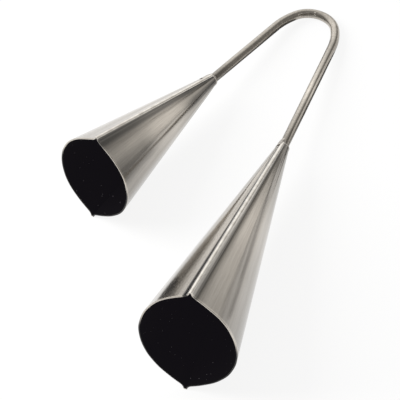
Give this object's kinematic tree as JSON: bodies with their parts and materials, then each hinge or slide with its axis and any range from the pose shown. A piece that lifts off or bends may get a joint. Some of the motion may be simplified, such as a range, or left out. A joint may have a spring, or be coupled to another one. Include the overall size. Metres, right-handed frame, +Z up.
{
  "type": "agogo bell",
  "caption": "Hand percussion instrument: a low and a high sheet-metal cone bell, seam-welded and black inside, joined by a bent round-rod handle.",
  "frame": {"origin": "centre of the bounding box on the table it lies on", "axes": "+Z up, +Y towards the bend of the handle, -Y out of the bells' mouths, low bell on the +X side and high bell on the -X side"},
  "size_m": [0.2224, 0.3974, 0.1093],
  "materials": {
    "plated_shell": "nickel-plated sheet steel, satin with fine streaks along the bell",
    "plated_rod": "nickel-plated round bar, satin with fine streaks along its length",
    "weld_metal": "plated weld bead, slightly lumpy",
    "black_coat": "matte black paint"
  },
  "bodies": {
    "root": {"handle_rod": "plated_rod", "high_bell_black_lining": "black_coat", "high_bell_bottom_seam_weld": "weld_metal", "high_bell_left_shell": "plated_shell", "high_bell_neck_weld": "weld_metal", "high_bell_right_shell": "plated_shell", "high_bell_top_seam_weld": "weld_metal", "low_bell_black_lining": "black_coat", "low_bell_bottom_seam_weld": "weld_metal", "low_bell_left_shell": "plated_shell", "low_bell_neck_weld": "weld_metal", "low_bell_right_shell": "plated_shell", "low_bell_top_seam_weld": "weld_metal"}
  },
  "joints": []
}
